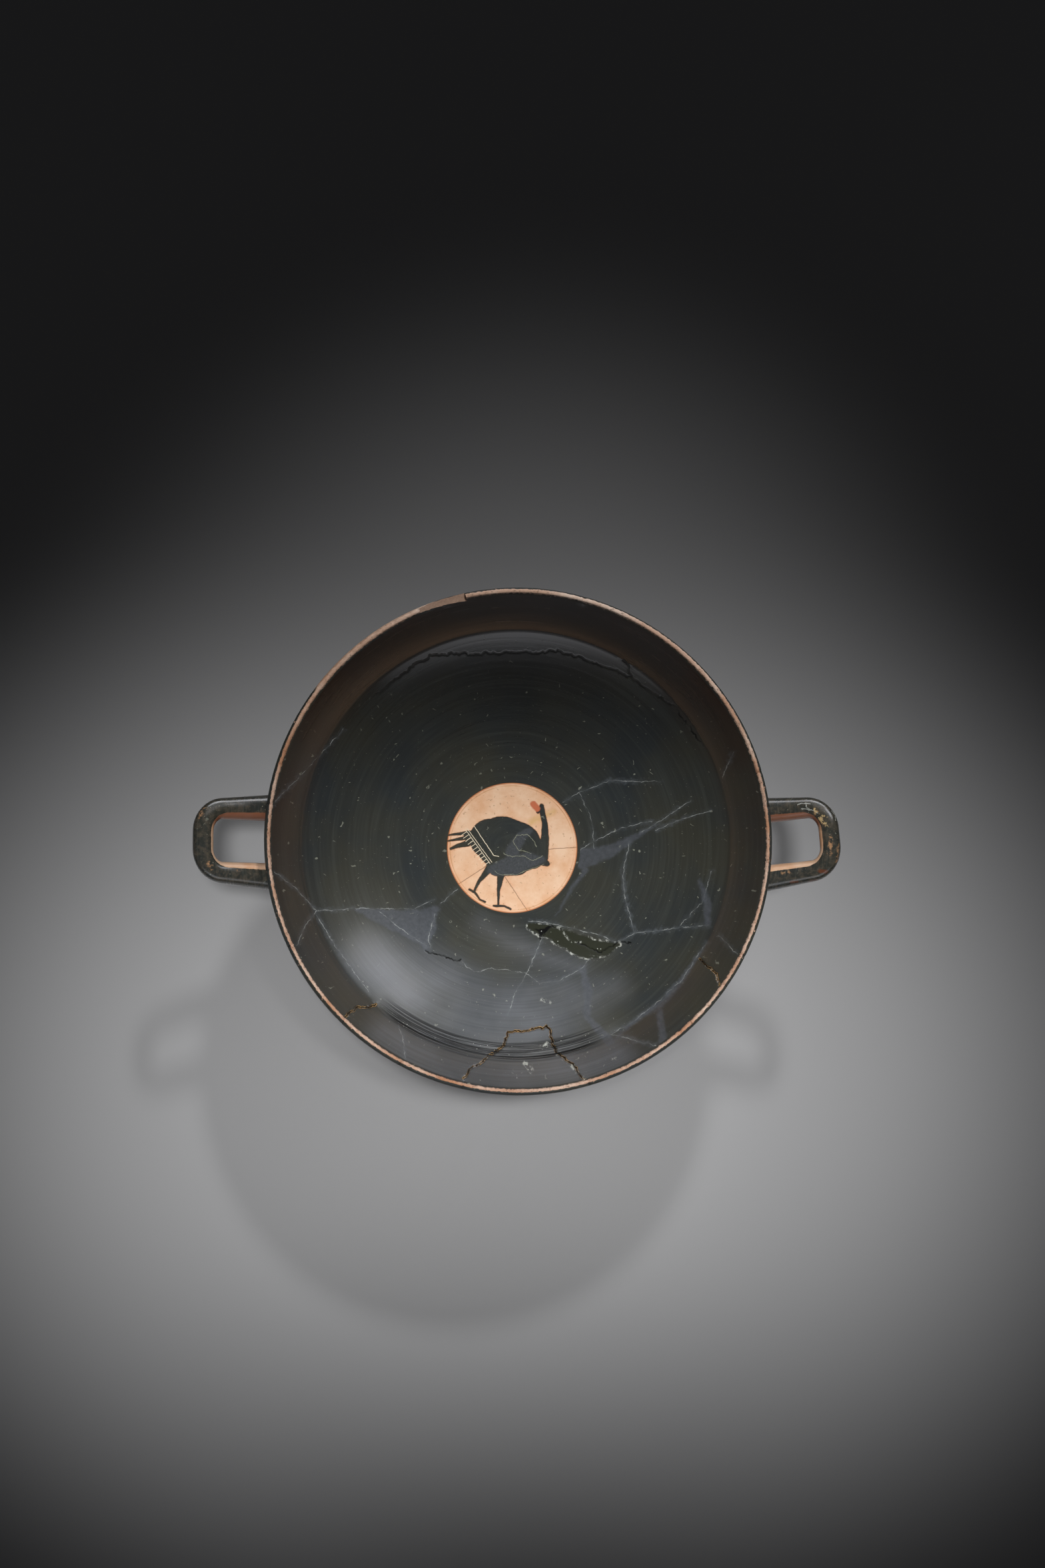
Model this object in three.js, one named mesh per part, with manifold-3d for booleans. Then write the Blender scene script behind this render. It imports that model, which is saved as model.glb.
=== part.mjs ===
// Greek kylix: a wide, shallow drinking cup of fired clay on a stem and a trumpet foot, with an offset flaring
// lip and two horizontal handles that tilt upward.
//
// The cup is thrown, turned and luted together before one firing, so it is one closed solid. It stands upright:
// +Z is up, the origin is the middle of the foot's underside, and the handles lie along X. Units are millimetres.

import * as THREE from 'three';
import { mergeVertices } from 'three/addons/utils/BufferGeometryUtils.js';
import Module from 'manifold-3d';

// ---- Driving dimensions -------------------------------------------------------------------------------------

const HEIGHT = 130;              // resting plane to the top of the lip
const RIM_RADIUS = 115;          // widest radius, just under the top of the lip
const SEGMENTS = 64;             // flat sides round the cup

const LIP = {
  topInner: 112.4,               // radii of the narrow rounded top
  topOuter: 114.1,
  drop: 2.6,                     // from the top down to the widest radius
  innerFoot: { radius: 99.9, below: 17.6 },   // where the inner face of the lip meets the offset
  outerFoot: { radius: 102.3, below: 19.8 },  // the same on the outside
};

const BOWL = {
  innerRadius: 97.8,             // inside, just under the offset
  innerTop: 21,                  // depth of that ring below the rim
  floor: 52,                     // depth of the middle of the floor below the rim
  outerRadius: 103.3,
  outerTop: 22.4,
  underside: 57.5,               // depth of the bowl's outer face on the axis
  inside: { curve: 2.8, shoulder: 1 },        // flat in the middle, steep at the edge
  outside: { curve: 2.1, shoulder: 0.7 },     // a shoulder under 1 turns upright at the edge
  steps: 8,
};

const FOOT = {
  radius: 46,
  edge: 5.6,                     // height of the foot's edge
  ringOuter: 45,                 // resting ring
  ringInner: 40,
  hollow: 46,                    // height of the hollow inside the stem
};

const STEM_RADIUS = 9.2;

const HANDLE = {
  rootX: 80,                     // the centreline starts inside the wall
  rootZ: HEIGHT - 32,
  tipX: 142.4,
  tipZ: HEIGHT - 9,
  half: 14.5,                    // half the spacing of the two legs
  flare: 2.7,                    // how much wider the legs stand at the wall
  corner: { x: 9, y: 10.5 },     // radii of the rounded corners
  legRadius: 5,
  tipRadius: 4.7,
  rootRadius: 8.5,
  lift: 1.3,                     // power of the rise: level at the wall, steeper outward
  steps: 30,
  sides: 12,
};

// The two handles were set on by hand: each one has its own offset along Y and its own swing, in degrees.
const HANDLE_PLACES = [
  { side: 1, offset: -3.1, swing: 5.2 },
  { side: -1, offset: 0, swing: 0 },
];

// One flake is missing from the top of the lip.
const CHIP = { azimuth: 108, length: 22, depth: 1.5, lean: 3.2 };

// ---- Small helpers ------------------------------------------------------------------------------------------

const wasm = await Module();
wasm.setup();

const point = (radius, height) => new THREE.Vector2(radius, height);

/** A closed three.js geometry as a solid that can be joined and cut. */
function toSolid(geometry) {
  const bare = geometry.index ? geometry.clone() : mergeVertices(geometry);
  bare.deleteAttribute('normal');
  bare.deleteAttribute('uv');
  const merged = mergeVertices(bare, 1e-4);
  return new wasm.Manifold(new wasm.Mesh({
    numProp: 3,
    vertProperties: new Float32Array(merged.attributes.position.array),
    triVerts: new Uint32Array(merged.index.array),
  }));
}

/** A solid back as a geometry with flat faces. */
function toGeometry(solid) {
  const { vertProperties, triVerts } = solid.getMesh();
  const geometry = new THREE.BufferGeometry();
  geometry.setAttribute('position', new THREE.BufferAttribute(new Float32Array(vertProperties), 3));
  geometry.setIndex(new THREE.BufferAttribute(new Uint32Array(triVerts), 1));
  geometry.computeVertexNormals();
  return geometry;
}

/** Turns a profile of (radius, height) points round the cup's axis, from the bottom of the axis to its top. */
function turned(profile) {
  const geometry = new THREE.LatheGeometry(profile, SEGMENTS);
  geometry.rotateX(Math.PI / 2);
  return toSolid(geometry);
}

/** The bowl's curve from near the axis out to its edge, with its points closer together towards the edge. */
function bowlCurve(edge, middleHeight, { curve, shoulder }, startRadius = 0) {
  const points = [];
  for (let i = 0; i <= BOWL.steps; i++) {
    const out = Math.sin((i / BOWL.steps) * (Math.PI / 2));
    const radius = THREE.MathUtils.lerp(startRadius, edge.x, out);
    const rise = 1 - (1 - (radius / edge.x) ** curve) ** shoulder;
    points.push(point(radius, THREE.MathUtils.lerp(middleHeight, edge.y, rise)));
  }
  return points;
}

/** A gently bent stretch between two points, pulled towards a third. */
function bend(start, pull, end, steps) {
  return new THREE.QuadraticBezierCurve(start, pull, end).getPoints(steps);
}

// ---- Body ---------------------------------------------------------------------------------------------------

/** Hollow under the foot, from its apex inside the stem down and out to the resting ring. */
function footHollow() {
  const wall = new THREE.CubicBezierCurve(
    point(0, FOOT.hollow),
    point(STEM_RADIUS - 2.2, FOOT.hollow - 2),
    point(STEM_RADIUS - 1.2, FOOT.edge + 2.4),
    point(FOOT.ringInner - 1.5, 1.2),
  );
  return wall.getPoints(9).concat([point(FOOT.ringInner, 0)]);
}

/** Rounded edge of the foot, from the resting ring up to its top face. */
function footEdge() {
  return [
    point(FOOT.ringOuter, 0),
    point(FOOT.radius - 0.2, 0.9),
    point(FOOT.radius, FOOT.edge / 2),
    point(FOOT.radius - 0.3, FOOT.edge - 0.8),
    point(FOOT.radius - 1.3, FOOT.edge),
  ];
}

/** Trumpet of the foot and the stem, up to the fillet under the bowl. */
function stem() {
  const underBowl = HEIGHT - BOWL.underside;
  const side = [
    point(FOOT.radius - 1.3, FOOT.edge),
    point(35, FOOT.edge + 2.6),
    point(24, FOOT.edge + 8.6),
    point(15.5, FOOT.edge + 18),
    point(STEM_RADIUS + 1.4, FOOT.edge + 30),
    point(STEM_RADIUS, FOOT.edge + 44),
    point(STEM_RADIUS + 0.6, underBowl - 9),
    point(STEM_RADIUS + 3.2, underBowl - 2.6),
    point(STEM_RADIUS + 9, underBowl + 0.3),
  ];
  return new THREE.SplineCurve(side).getPoints(15).slice(1);
}

/** Outside of the lip with its rounded top, from the offset up to the axis above the bowl. */
function lipOutside() {
  const foot = point(LIP.outerFoot.radius, HEIGHT - LIP.outerFoot.below);
  const widest = point(RIM_RADIUS, HEIGHT - LIP.drop);
  const face = bend(foot, point(foot.x + 1.6, foot.y + 8), widest, 6);
  const rounding = [
    point(RIM_RADIUS - 0.25, HEIGHT - LIP.drop * 0.35),
    point(LIP.topOuter, HEIGHT),
    point(0, HEIGHT),
  ];
  return face.concat(rounding);
}

/** The whole outside of the cup, filled to the top of the lip. */
function outsideProfile() {
  const edge = point(BOWL.outerRadius, HEIGHT - BOWL.outerTop);
  const underBowl = bowlCurve(edge, HEIGHT - BOWL.underside, BOWL.outside, STEM_RADIUS + 16);
  return [...footHollow(), ...footEdge(), ...stem(), ...underBowl, ...lipOutside()];
}

/** What the potter left empty: the inside of the bowl and the lip, open upward. */
function insideProfile() {
  const edge = point(BOWL.innerRadius, HEIGHT - BOWL.innerTop);
  const offset = point(LIP.innerFoot.radius, HEIGHT - LIP.innerFoot.below);
  const top = point(LIP.topInner, HEIGHT);
  const above = HEIGHT + 5;
  return [
    ...bowlCurve(edge, HEIGHT - BOWL.floor, BOWL.inside),
    point(edge.x + 1.1, edge.y + 1.7),
    ...bend(offset, point(offset.x + 3.4, offset.y + 7.2), top, 6),
    point(LIP.topInner, above),
    point(0, above),
  ];
}

// ---- Handles ------------------------------------------------------------------------------------------------

/** Plan of one handle's centreline: out along one leg, round the far side and back along the other. */
function handlePlan() {
  const { rootX, tipX, half, flare, corner } = HANDLE;
  const cornerX = tipX - corner.x;
  const cornerY = half - corner.y;
  const plan = new THREE.Path();
  plan.moveTo(rootX, half + flare);
  plan.lineTo(cornerX, half);
  plan.absellipse(cornerX, cornerY, corner.x, corner.y, Math.PI / 2, 0, true, 0);
  plan.absellipse(cornerX, -cornerY, corner.x, corner.y, 0, -Math.PI / 2, true, 0);
  plan.lineTo(rootX, -half - flare);
  return plan;
}

/** Centreline of one handle in space: the plan lifted outward. */
function handleCentreline() {
  const { rootX, tipX, rootZ, tipZ, lift, steps } = HANDLE;
  return handlePlan().getSpacedPoints(steps).map(({ x, y }) => {
    const out = Math.max(0, (x - rootX) / (tipX - rootX));
    return new THREE.Vector3(x, y, THREE.MathUtils.lerp(rootZ, tipZ, out ** lift));
  });
}

/** Radius of the round bar at a distance out from the wall: splayed at the root, slimmest at the tip. */
function barRadius(x) {
  const { rootX, tipX, rootRadius, legRadius, tipRadius } = HANDLE;
  const out = (x - rootX) / (tipX - rootX);
  const splay = (rootRadius - legRadius) * Math.max(0, 1 - out / 0.95) ** 1.5;
  const taper = (legRadius - tipRadius) * THREE.MathUtils.smoothstep(out, 0.6, 1);
  return legRadius + splay - taper;
}

/** One handle: a closed cylinder whose rings are carried along the centreline. */
function handle({ side, offset, swing }) {
  const centreline = handleCentreline();
  const bar = new THREE.CylinderGeometry(1, 1, 1, HANDLE.sides, HANDLE.steps);
  const position = bar.attributes.position;
  const vertex = new THREE.Vector3();
  const up = new THREE.Vector3(0, 0, 1);
  for (let i = 0; i < position.count; i++) {
    vertex.fromBufferAttribute(position, i);
    const step = Math.round((vertex.y + 0.5) * HANDLE.steps);
    const centre = centreline[step];
    const before = centreline[Math.max(step - 1, 0)];
    const after = centreline[Math.min(step + 1, HANDLE.steps)];
    const along = after.clone().sub(before).normalize();
    const across = new THREE.Vector3().crossVectors(along, up).normalize();
    const over = new THREE.Vector3().crossVectors(across, along);
    const radius = barRadius(centre.x);
    const placed = centre.clone()
      .addScaledVector(across, vertex.x * radius)
      .addScaledVector(over, vertex.z * radius);
    position.setXYZ(i, placed.x, placed.y, placed.z);
  }
  bar.translate(-HANDLE.rootX, 0, 0);
  bar.rotateZ(THREE.MathUtils.degToRad(swing));
  bar.translate(HANDLE.rootX, offset, 0);
  if (side < 0) bar.rotateZ(Math.PI).translate(0, 2 * offset, 0);
  return toSolid(bar);
}

// ---- Damage -------------------------------------------------------------------------------------------------

/** The flake that is missing from the lip: a flat, slightly leaning cut across its top. */
function lipChip() {
  const flake = new THREE.BoxGeometry(12, CHIP.length, 8);
  flake.translate(0, 0, 4);
  flake.rotateX(THREE.MathUtils.degToRad(CHIP.lean));
  flake.translate((LIP.topInner + RIM_RADIUS) / 2, 0, HEIGHT - CHIP.depth);
  flake.rotateZ(THREE.MathUtils.degToRad(CHIP.azimuth));
  return toSolid(flake);
}

// ---- The cup ------------------------------------------------------------------------------------------------

function kylixGeometry() {
  let clay = turned(outsideProfile());
  for (const place of HANDLE_PLACES) clay = clay.add(handle(place));
  return toGeometry(clay.subtract(turned(insideProfile())).subtract(lipChip()));
}

const blackSlip = new THREE.MeshStandardMaterial({ color: 0x2a2a27, roughness: 0.38, metalness: 0 });

const kylix = new THREE.Mesh(kylixGeometry(), blackSlip);
kylix.name = 'kylix';

const cup = new THREE.Group();
cup.add(kylix);

export default cup;
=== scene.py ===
"""Greek kylix of black-slipped clay: fine mesh, finishes, floor, lights and camera.

The cup is one fired piece, so one mesh stands for the whole of it. Shapes are worked out in millimetres, in
the cup's own frame: +Z up, the origin under the middle of the foot, the handles along X. They become metres
at the end.
"""

import math

import bmesh
import bpy
from mathutils import Matrix, Vector, kdtree, noise


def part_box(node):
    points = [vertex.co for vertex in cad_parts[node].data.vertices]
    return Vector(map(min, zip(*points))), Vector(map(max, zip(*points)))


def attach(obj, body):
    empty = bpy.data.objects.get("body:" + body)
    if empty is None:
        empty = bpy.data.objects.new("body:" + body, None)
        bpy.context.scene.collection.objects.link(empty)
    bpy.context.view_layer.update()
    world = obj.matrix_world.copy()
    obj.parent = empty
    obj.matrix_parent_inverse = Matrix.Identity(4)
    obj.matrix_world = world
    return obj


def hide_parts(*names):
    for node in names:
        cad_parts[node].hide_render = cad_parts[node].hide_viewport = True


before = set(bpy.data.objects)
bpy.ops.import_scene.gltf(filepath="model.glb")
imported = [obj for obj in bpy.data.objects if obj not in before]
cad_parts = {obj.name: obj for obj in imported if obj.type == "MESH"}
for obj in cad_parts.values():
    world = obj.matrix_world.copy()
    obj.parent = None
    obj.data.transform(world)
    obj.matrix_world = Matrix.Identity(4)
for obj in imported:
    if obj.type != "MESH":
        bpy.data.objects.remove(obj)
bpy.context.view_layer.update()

MM = 0.001
LOW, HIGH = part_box("kylix")
HEIGHT = HIGH[2] / MM  # resting plane to the top of the lip
RIM_RADIUS = HIGH[1] / MM  # widest radius, just under the top of the lip


# ---- Dimensions, in millimetres -----------------------------------

SIDES = 360  # faces round the cup
SOLVER_TRIES = 6

LIP_TOP_OUTER = 113.5  # the lip's top is rounded on both sides of this radius
LIP_TOP_INNER = 112.35
LIP_DROP = 2.6
LIP_INNER_FOOT = (99.9, HEIGHT - 17.6)
LIP_OUTER_FOOT = (102.3, HEIGHT - 19.8)

BOWL_INNER_EDGE = (97.8, HEIGHT - 21)
BOWL_OUTER_EDGE = (103.3, HEIGHT - 22.4)
FLOOR = HEIGHT - 52
UNDERSIDE = HEIGHT - 57.5
BOWL_ROUND = 2.8  # powers of the bowl's curves: the higher, the flatter in the middle
UNDER_ROUND = 2.1

FOOT_RADIUS = 46
FOOT_EDGE = 5.6
RING_OUTER = 45
RING_INNER = 40
FOOT_HOLLOW = 46
STEM_RADIUS = 9.2

ROOT = (80, HEIGHT - 32)  # where a handle's centreline starts, inside the wall
TIP = (142.4, HEIGHT - 9)
LEG_HALF = 14.5
LEG_SPLAY = 2.7
CORNER = (9, 10.5)
LEG_RADIUS = 5
TIP_RADIUS = 4.7
ROOT_RADIUS = 8.5
HANDLE_STEPS = 96
HANDLE_SIDES = 28
BARE_TO_LEG = 0.40  # cosines, from straight inward, of where the slip starts on a handle
BARE_TO_TIP = 0.86
HANDLE_PLACES = (  # side, offset along Y and swing in degrees of each handle
    (1, -3.1, 5.2),
    (-1, 0.0, 0.0),
)

TONDO_RADIUS = 30.2
CHIP_AZIMUTH = 108
CHIP_LENGTH = 22
CHIP_DEPTH = 1.5
CHIP_LEAN = 3.2
JOINS = (-173, -155, -134, -118, -103, -74, -35, -27, -5, 8, 16, 75, 172)  # where mended breaks cross the lip
RUBBED = (104, 150)  # stretch of the lip's edge, in degrees, that is worn rough

INSIDE, TONDO, LIP_EDGE, OUTSIDE, UNDERFOOT, HANDLE, BREAK = range(7)  # finishes, in the mesh's order


# ---- Curves -------------------------------------------------------

def mix(a, b, share):
    return a + (b - a) * share


def smoothstep(value, low, high):
    share = min(max((value - low) / (high - low), 0), 1)
    return share * share * (3 - 2 * share)


def bezier(knots, count):
    """Points along a Bezier curve of any degree, both ends included."""
    points = []
    for i in range(count + 1):
        level = [Vector(knot) for knot in knots]
        while len(level) > 1:
            level = [a.lerp(b, i / count) for a, b in zip(level, level[1:])]
        points.append(level[0])
    return points


def spline(knots, count):
    """Points along a smooth curve through the knots, both ends included."""
    knots = [Vector(knot) for knot in knots]
    ends = [knots[0]] + knots + [knots[-1]]
    points = []
    for i in range(count + 1):
        place = min(i / count * (len(knots) - 1), len(knots) - 1.000001)
        index = int(place)
        t = place - index
        a, b, c, d = ends[index:index + 4]
        points.append(0.5 * (2 * b + (c - a) * t + (2 * a - 5 * b + 4 * c - d) * t * t
                             + (3 * b - a - 3 * c + d) * t ** 3))
    return points


def bowl_curve(edge, middle, power, shoulder, start, count):
    """The bowl from near the axis out to its edge: flat in the middle and steep at the edge."""
    points = []
    for i in range(count + 1):
        radius = mix(start, edge[0], math.sin(i / count * math.pi / 2) if shoulder < 1 else i / count)
        rise = 1 - (1 - (radius / edge[0]) ** power) ** shoulder
        points.append(Vector((radius, mix(middle, edge[1], rise))))
    return points


def quarter_round(centre, across, up, start, end, count):
    """Part of an ellipse, between two angles in degrees."""
    points = []
    for i in range(count + 1):
        angle = math.radians(mix(start, end, i / count))
        points.append(Vector((centre[0] + across * math.cos(angle), centre[1] + up * math.sin(angle))))
    return points


# ---- The thrown body ----------------------------------------------

def body_profile():
    """Half section of the cup: from the middle of the floor over the lip, then down and under the foot."""
    inside = bowl_curve(BOWL_INNER_EDGE, FLOOR, BOWL_ROUND, 1, 0, 62)
    offset = bezier([BOWL_INNER_EDGE, (BOWL_INNER_EDGE[0] + 0.9, BOWL_INNER_EDGE[1] + 1.4),
                     (LIP_INNER_FOOT[0] - 0.4, LIP_INNER_FOOT[1] - 0.6), LIP_INNER_FOOT], 4)
    lip_inside = bezier([LIP_INNER_FOOT, (LIP_INNER_FOOT[0] + 5.4, LIP_INNER_FOOT[1] + 8),
                         (LIP_TOP_INNER, HEIGHT - 0.7)], 16)
    inner_round = quarter_round((LIP_TOP_INNER + 0.75, HEIGHT - 0.75), 0.75, 0.75, 170, 90, 4)
    outer_centre = (LIP_TOP_OUTER, HEIGHT - LIP_DROP)
    outer_round = quarter_round(outer_centre, RIM_RADIUS - LIP_TOP_OUTER, LIP_DROP, 90, 0, 6)
    lip_outside = bezier([(RIM_RADIUS, HEIGHT - LIP_DROP), (LIP_OUTER_FOOT[0] + 2.8, LIP_OUTER_FOOT[1] + 7.4),
                          LIP_OUTER_FOOT], 12)
    under_bowl = bowl_curve(BOWL_OUTER_EDGE, UNDERSIDE, UNDER_ROUND, 0.7, STEM_RADIUS + 16, 20)
    stem = spline([
        (FOOT_RADIUS - 1.3, FOOT_EDGE),
        (35, FOOT_EDGE + 2.6),
        (24, FOOT_EDGE + 8.6),
        (15.5, FOOT_EDGE + 18),
        (STEM_RADIUS + 1.4, FOOT_EDGE + 30),
        (STEM_RADIUS, FOOT_EDGE + 44),
        (STEM_RADIUS + 0.6, UNDERSIDE - 9),
        (STEM_RADIUS + 3.2, UNDERSIDE - 2.6),
        (STEM_RADIUS + 9, UNDERSIDE + 0.3),
    ], 26)
    edge = [Vector(knot) for knot in (
        (FOOT_RADIUS - 0.3, FOOT_EDGE - 0.8),
        (FOOT_RADIUS, FOOT_EDGE / 2),
        (FOOT_RADIUS - 0.2, 0.9),
        (RING_OUTER, 0),
        (RING_INNER, 0),
    )]
    hollow = bezier([(RING_INNER - 1.5, 1.2), (STEM_RADIUS - 1.2, FOOT_EDGE + 2.4),
                     (STEM_RADIUS - 2.2, FOOT_HOLLOW - 2), (0, FOOT_HOLLOW)], 12)
    return (inside[:-1] + offset[:-1] + lip_inside[:-1] + inner_round + outer_round[:-1] + lip_outside
            + under_bowl[::-1] + stem[::-1] + edge + hollow)


def body_finish(face):
    """Which finish a face of the body takes, from where it lies and which way it looks."""
    centre = face.calc_center_median()
    radius = math.hypot(centre.x, centre.y)
    outward = centre.x * face.normal.x + centre.y * face.normal.y > 0
    if centre.z > HEIGHT - LIP_DROP and radius > LIP_TOP_INNER - 0.9:
        return LIP_EDGE
    if centre.z < FOOT_HOLLOW + 1 and face.normal.z < -0.05 and radius < FOOT_RADIUS - 0.9:
        return UNDERFOOT
    if outward and centre.z < HEIGHT - LIP_DROP and (radius > STEM_RADIUS - 1 and face.normal.z < 0.999):
        return OUTSIDE
    return TONDO if radius < TONDO_RADIUS + 1.5 else INSIDE


def wear_lip(bm):
    """Nicks the lip where mended breaks cross it, and roughens its rubbed stretch."""
    top = [edge for edge in bm.edges
           if all(vert.co.z > HEIGHT - LIP_DROP - 0.5 and vert.co.xy.length > LIP_TOP_INNER - 0.9
                  for vert in edge.verts)
           and abs(edge.verts[0].co.xy.length - edge.verts[1].co.xy.length) < 0.02]
    bmesh.ops.subdivide_edges(bm, edges=top, cuts=2, use_grid_fill=True)
    for vert in bm.verts:
        radius = vert.co.xy.length
        if vert.co.z < HEIGHT - LIP_DROP - 0.5 or radius < LIP_TOP_INNER - 0.9:
            continue
        azimuth = math.degrees(math.atan2(vert.co.y, vert.co.x))
        nick = 0.0
        for join in JOINS:
            gap = math.radians((azimuth - join + 180) % 360 - 180) * radius
            nick += 0.8 * math.exp(-(gap / 0.65) ** 2)
        rough = (smoothstep(azimuth, RUBBED[0] - 4, RUBBED[0])
                 * (1 - smoothstep(azimuth, RUBBED[1] - 12, RUBBED[1])))
        grain = noise.noise(vert.co * 0.9)
        bitten = max(0.0, noise.noise(vert.co * 0.45 + Vector((7, 0, 0))) + 0.1) * rough
        lowered = nick + 0.5 * bitten + (0.06 + 0.16 * rough) * (grain + 0.5)
        share = smoothstep(vert.co.z, HEIGHT - LIP_DROP - 0.5, HEIGHT - LIP_DROP + 1.4)
        vert.co.z -= lowered * share
        if radius > LIP_TOP_OUTER:
            inset = 1 - (0.7 * lowered * share) / radius
            vert.co.x *= inset
            vert.co.y *= inset


def break_tree(lines):
    """Breaks as closely set points that stray a little to either side, in a tree that finds the nearest."""
    points = []
    for line in lines:
        for a, b in zip(line, line[1:]):
            start, run = Vector((*a, 0)), Vector((b[0] - a[0], b[1] - a[1], 0))
            count = math.ceil(run.length / 0.15)
            points += [start + run * (i / count) for i in range(count + 1)]
    tree = kdtree.KDTree(len(points))
    for i, point in enumerate(points):
        stray = noise.noise_vector(point * 0.35) + 0.6 * noise.noise_vector(point * 1.1)
        tree.insert((point.x + stray.x, point.y + stray.y, 0), i)
    tree.balance()
    return tree


def break_gap(tree, point):
    """How far a point of the bowl lies from the nearest break, seen from above."""
    return tree.find((point.x, point.y, 0))[2]


def open_breaks(bm, open_tree, dark_tree):
    """Divides the bowl's faces finely along the breaks and sinks them there in a narrow groove."""
    bm.normal_update()
    inner = [face for face in bm.faces if face.material_index == INSIDE]
    along = {}
    for face in inner:
        centre = face.calc_center_median()
        if min(break_gap(open_tree, centre), break_gap(dark_tree, centre)) < 1.7:
            along.update(dict.fromkeys(face.edges))
    bmesh.ops.subdivide_edges(bm, edges=list(along), cuts=4, use_grid_fill=True)
    bm.normal_update()
    inner = {vert for face in bm.faces if face.material_index == INSIDE for vert in face.verts}
    for vert in inner:
        open_gap, dark_gap = break_gap(open_tree, vert.co), break_gap(dark_tree, vert.co)
        depth = 0.75 * math.exp(-(open_gap / 0.42) ** 2) + 0.2 * math.exp(-(dark_gap / 0.28) ** 2)
        crumbled = 0.25 * math.exp(-(open_gap / 1.1) ** 2) * (noise.noise(vert.co * 1.6) + 0.2)
        vert.co -= vert.normal * (depth + crumbled)


def spun(outline, sides):
    """A half section spun round the axis, ring by ring, so that every run makes the same mesh."""
    bm = bmesh.new()
    rings = []
    for point in outline:
        if point.x < 1e-4:
            rings.append([bm.verts.new((0, 0, point.y))] * sides)
            continue
        turns = [math.tau * i / sides for i in range(sides)]
        rings.append([bm.verts.new((point.x * math.cos(turn), point.x * math.sin(turn), point.y))
                      for turn in turns])
    for lower, upper in zip(rings, rings[1:]):
        for i in range(sides):
            corners = (lower[i - 1], lower[i], upper[i], upper[i - 1])
            bm.faces.new(dict.fromkeys(corners))
    bmesh.ops.recalc_face_normals(bm, faces=bm.faces)
    return bm


def thrown_body(open_tree, dark_tree):
    """The body as a potter makes it, before the handles."""
    bm = spun(body_profile(), SIDES)
    for face in bm.faces:
        face.material_index = body_finish(face)
    wear_lip(bm)
    open_breaks(bm, open_tree, dark_tree)
    return bm


# ---- Handles ------------------------------------------------------

def handle_plan():
    """Plan of a handle's centreline with even steps: out along one leg, round the far side and back."""
    corner_x = TIP[0] - CORNER[0]
    corner_y = LEG_HALF - CORNER[1]
    rounds = (quarter_round((corner_x, corner_y), *CORNER, 90, 0, 24)
              + quarter_round((corner_x, -corner_y), *CORNER, 0, -90, 24))
    outline = [Vector((ROOT[0], LEG_HALF + LEG_SPLAY))] + rounds + [Vector((ROOT[0], -LEG_HALF - LEG_SPLAY))]
    reach = [0.0]
    for a, b in zip(outline, outline[1:]):
        reach.append(reach[-1] + (b - a).length)
    plan = []
    leg = 0
    for i in range(HANDLE_STEPS + 1):
        along = reach[-1] * i / HANDLE_STEPS
        while leg < len(outline) - 2 and reach[leg + 1] < along:
            leg += 1
        share = (along - reach[leg]) / (reach[leg + 1] - reach[leg])
        plan.append(outline[leg].lerp(outline[leg + 1], share))
    return plan


def handle_centreline():
    """The plan lifted outward, level at the wall and steeper towards the tip."""
    line = []
    for point in handle_plan():
        out = max(0, (point.x - ROOT[0]) / (TIP[0] - ROOT[0]))
        line.append(Vector((point.x, point.y, mix(ROOT[1], TIP[1], out ** 1.3))))
    return line


def bar_radius(x):
    """Radius of the round bar: splayed at the root, slimmest at the tip."""
    out = (x - ROOT[0]) / (TIP[0] - ROOT[0])
    splay = (ROOT_RADIUS - LEG_RADIUS) * max(0, 1 - out / 0.95) ** 1.5
    return LEG_RADIUS + splay - (LEG_RADIUS - TIP_RADIUS) * smoothstep(out, 0.6, 1)


def handle_turn(side, offset, swing):
    """How a handle drawn along +X is set on the cup."""
    swung = (Matrix.Translation((ROOT[0], offset, 0)) @ Matrix.Rotation(math.radians(swing), 4, "Z")
             @ Matrix.Translation((-ROOT[0], 0, 0)))
    if side > 0:
        return swung
    return Matrix.Translation((0, 2 * offset, 0)) @ Matrix.Rotation(math.pi, 4, "Z") @ swung


def handle_bar(place):
    """A cylinder whose rings are carried along the centreline."""
    bm = bmesh.new()
    bmesh.ops.create_cone(bm, cap_ends=True, segments=HANDLE_SIDES, radius1=1, radius2=1, depth=1)
    long_edges = [edge for edge in bm.edges if abs(edge.verts[0].co.z - edge.verts[1].co.z) > 0.5]
    bmesh.ops.subdivide_edges(bm, edges=long_edges, cuts=HANDLE_STEPS - 1, use_grid_fill=True)
    line = handle_centreline()
    up = Vector((0, 0, 1))
    for vert in bm.verts:
        step = round((vert.co.z + 0.5) * HANDLE_STEPS)
        centre = line[step]
        along = (line[min(step + 1, HANDLE_STEPS)] - line[max(step - 1, 0)]).normalized()
        across = along.cross(up).normalized()
        over = across.cross(along)
        radius = bar_radius(centre.x)
        vert.co = centre + (across * vert.co.x + over * vert.co.y) * radius
    bm.transform(handle_turn(*place))
    bmesh.ops.recalc_face_normals(bm, faces=bm.faces)
    for face in bm.faces:
        face.material_index = HANDLE
    return bm


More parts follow.
